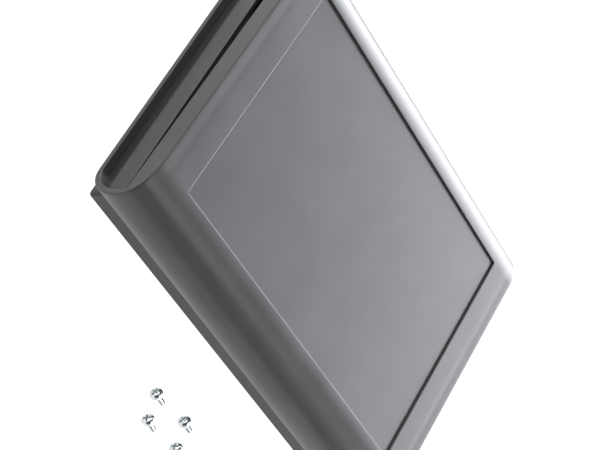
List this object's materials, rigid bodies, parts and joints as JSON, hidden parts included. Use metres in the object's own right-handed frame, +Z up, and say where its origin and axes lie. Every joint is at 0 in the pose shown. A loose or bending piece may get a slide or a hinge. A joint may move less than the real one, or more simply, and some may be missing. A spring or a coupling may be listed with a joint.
{
  "type": "instrument enclosure",
  "caption": "Flat two-shell plastic instrument enclosure with rounded flanks, a recessed label panel on top, slide-in end panels and loose self-tapping screws.",
  "frame": {"origin": "centre of the plinth's underside, on the table", "axes": "+X along the case's length, +Y across it towards the side where the upper shell sits raised, +Z up"},
  "size_m": [0.196, 0.1863, 0.042],
  "materials": {
    "case_plastic": "fine satin moulded texture",
    "panel_plastic": "smooth satin",
    "screw_zinc": "bright zinc plate with a faint blue passivation"
  },
  "bodies": {
    "lower_case": {"lower_shell": "case_plastic", "end_panel_left": "panel_plastic", "end_panel_right": "panel_plastic"},
    "upper_case": {"upper_shell": "case_plastic"},
    "loose_screw_1": {"screw_1": "screw_zinc"},
    "loose_screw_2": {"screw_2": "screw_zinc"},
    "loose_screw_3": {"screw_3": "screw_zinc"},
    "loose_screw_4": {"screw_4": "screw_zinc"}
  },
  "joints": [
    {"name": "upper_shell_tip", "type": "hinge", "parent": "lower_case", "child": "upper_case", "pos_m": [0, -0.07225, 0.02355], "axis": [1, 0, 0], "range_deg": [-2.2, 70]},
    {"name": "screw_1_pick_up", "type": "slide", "parent": "lower_case", "child": "loose_screw_1", "axis": [0, 0, 1], "range_m": [0, 0.04]},
    {"name": "screw_2_pick_up", "type": "slide", "parent": "lower_case", "child": "loose_screw_2", "axis": [0, 0, 1], "range_m": [0, 0.04]},
    {"name": "screw_3_pick_up", "type": "slide", "parent": "lower_case", "child": "loose_screw_3", "axis": [0, 0, 1], "range_m": [0, 0.04]},
    {"name": "screw_4_pick_up", "type": "slide", "parent": "lower_case", "child": "loose_screw_4", "axis": [0, 0, 1], "range_m": [0, 0.04]}
  ]
}
